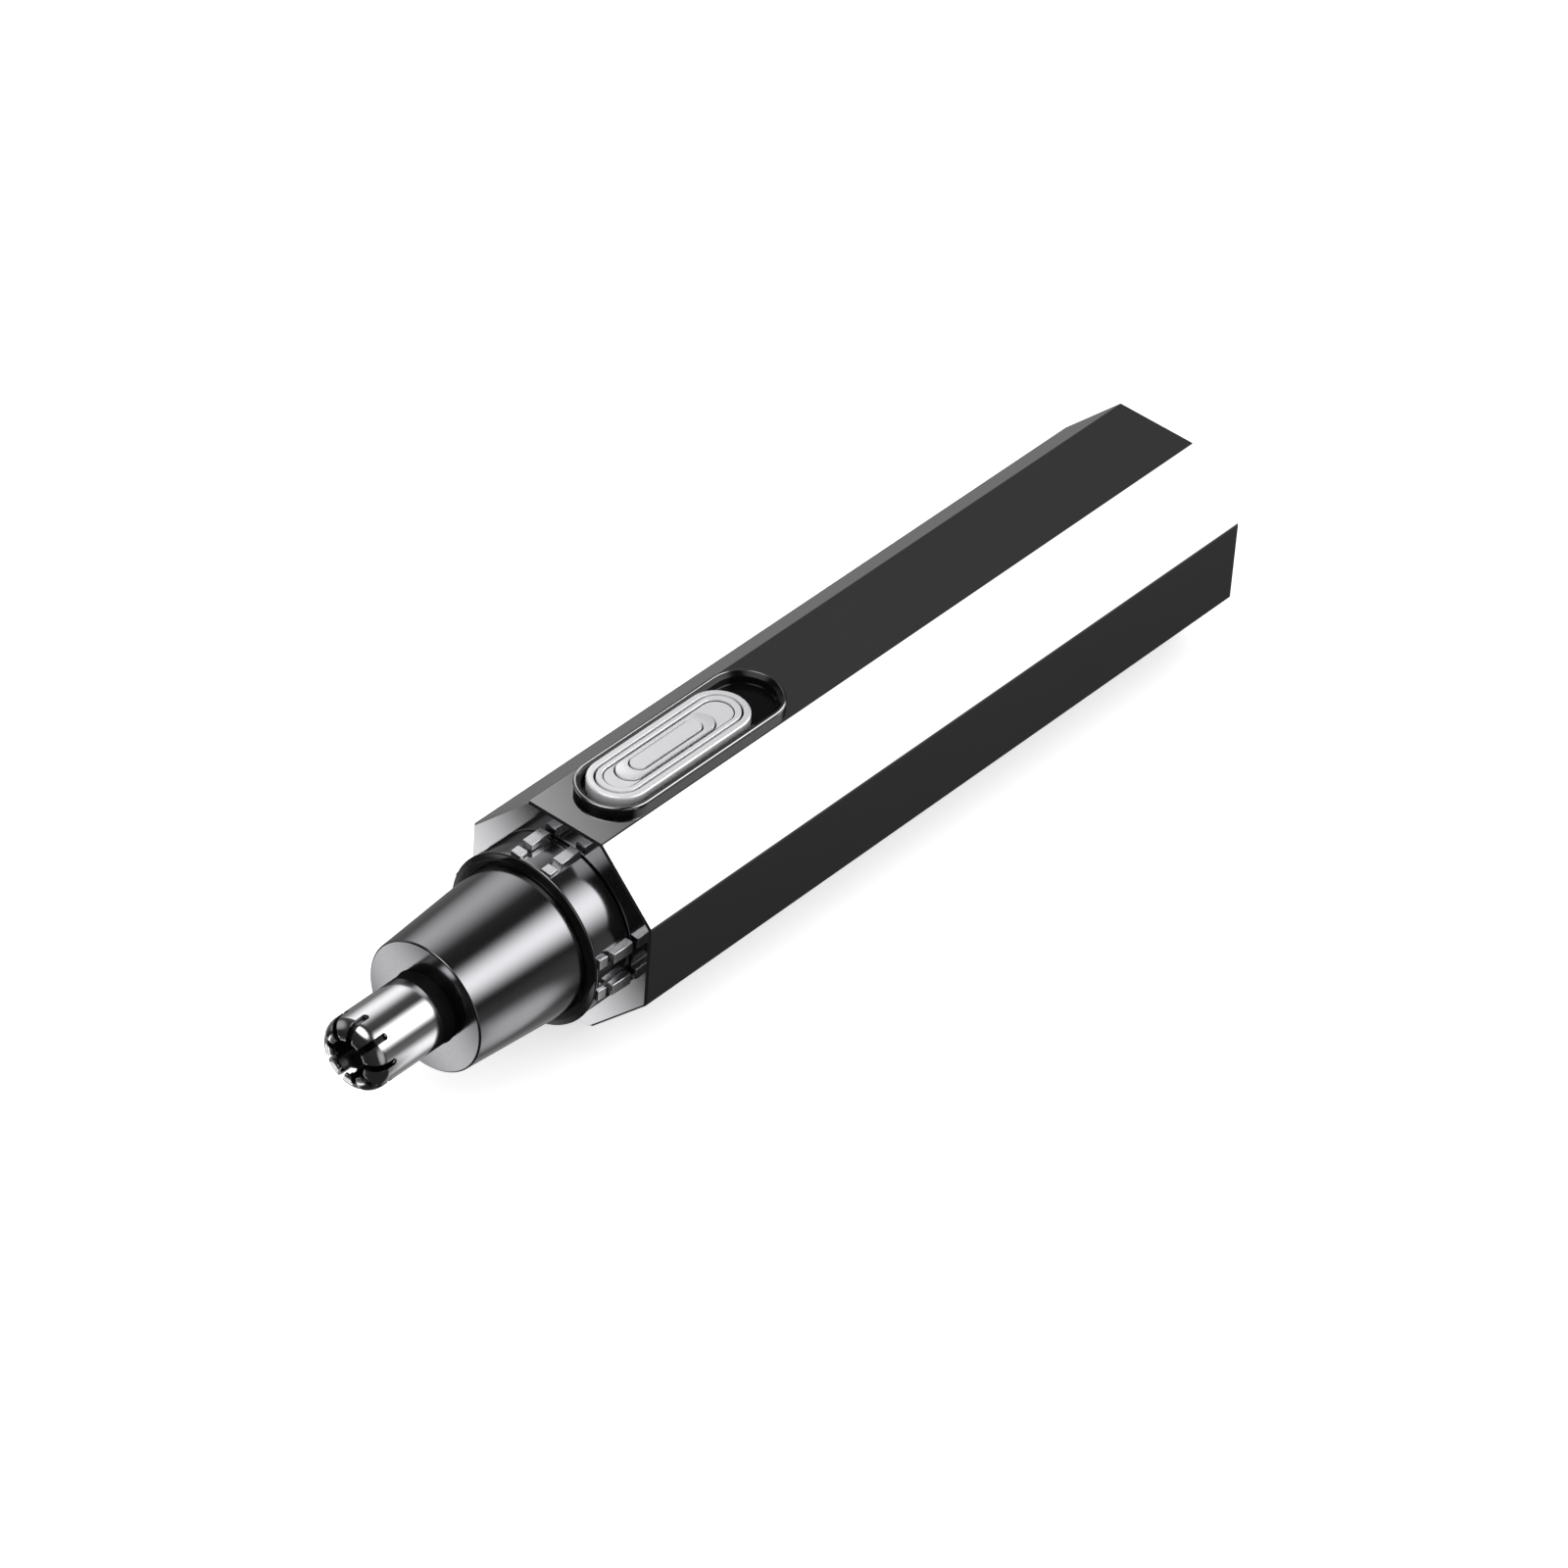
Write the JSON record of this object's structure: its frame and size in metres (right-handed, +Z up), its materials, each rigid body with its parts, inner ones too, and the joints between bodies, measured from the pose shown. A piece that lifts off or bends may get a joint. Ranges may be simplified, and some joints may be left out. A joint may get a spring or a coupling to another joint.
{
  "type": "nose hair trimmer",
  "caption": "Slim octagonal metal nose hair trimmer with a sliding power switch, a ribbed locking collar and a pull-off rotary cutter head with a slotted chrome tip.",
  "frame": {"origin": "bottom centre of the trimmer's bounding box, on the facet it lies on", "axes": "+Z up through the switch facet, -Y out along the cutter nose, +Y back along the handle, +X to the side"},
  "size_m": [0.027, 0.1422, 0.0287],
  "materials": {
    "dark_metal": "dark polished metal tube",
    "satin_metal": "satin dark metal",
    "bright_metal": "bright satin metal",
    "gloss_black": "gloss black moulding",
    "chrome": "mirror chrome",
    "black_plastic": "matt black moulding",
    "grey_plastic": "matt grey moulding",
    "white_plastic": "natural acetal moulding",
    "steel": "fine brushed steel",
    "iron": "grey iron",
    "nickel": "nickel plated strip",
    "brass": "bare brass",
    "board": "green lacquered board",
    "chip_black": "moulded components",
    "cell_wrap": "gloss blue shrink wrap on a metal can",
    "lead_red": "insulated wire",
    "led_white": "white lamp body",
    "lens": "clear light pipe"
  },
  "bodies": {
    "handle": {"housing_shell": "dark_metal", "switch_bezel": "gloss_black", "switch_housing": "steel", "control_board": "board", "board_components": "chip_black", "front_socket": "black_plastic", "inner_frame": "grey_plastic", "battery_cell": "cell_wrap", "battery_tabs": "nickel", "motor_can": "steel", "motor_magnets": "iron", "motor_end_cap": "grey_plastic", "motor_terminals": "brass", "motor_leads": "lead_red", "motor_screws": "steel", "rear_cap": "black_plastic", "rear_cap_screws": "steel", "status_lens": "lens", "status_led": "led_white", "usb_shell": "nickel", "usb_tongue": "black_plastic"},
    "slider": {"power_slider": "bright_metal", "slider_carrier": "black_plastic", "switch_lever": "black_plastic"},
    "collar": {"lock_collar": "satin_metal"},
    "rotor": {"motor_shaft": "steel", "motor_armature": "iron", "drive_coupler": "white_plastic"},
    "head": {"head_cone": "satin_metal", "head_ring": "gloss_black", "neck_sleeve": "gloss_black", "cutter_tube": "chrome", "spindle_bearing": "white_plastic"},
    "blade": {"inner_blade": "chrome", "blade_spindle": "steel", "spindle_dog": "white_plastic", "blade_spring": "steel"}
  },
  "joints": [
    {"name": "power_slide", "type": "slide", "parent": "handle", "child": "slider", "axis": [0, 1, 0], "range_m": [0, 0.004]},
    {"name": "collar_turn", "type": "hinge", "parent": "handle", "child": "collar", "pos_m": [0, -0.0359, 0.0135], "axis": [0, 1, 0], "range_deg": [0, 45]},
    {"name": "head_pull", "type": "slide", "parent": "handle", "child": "head", "axis": [0, -1, 0], "range_m": [0, 0.03]},
    {"name": "motor_spin", "type": "hinge", "parent": "handle", "child": "rotor", "pos_m": [0, -0.0359, 0.0135], "axis": [0, 1, 0], "continuous": true},
    {"name": "blade_spin", "type": "hinge", "parent": "head", "child": "blade", "pos_m": [0, -0.0359, 0.0135], "axis": [0, 1, 0], "continuous": true}
  ],
  "couplings": [
    {"joint": "blade_spin", "follows": "motor_spin", "ratio": 1}
  ]
}
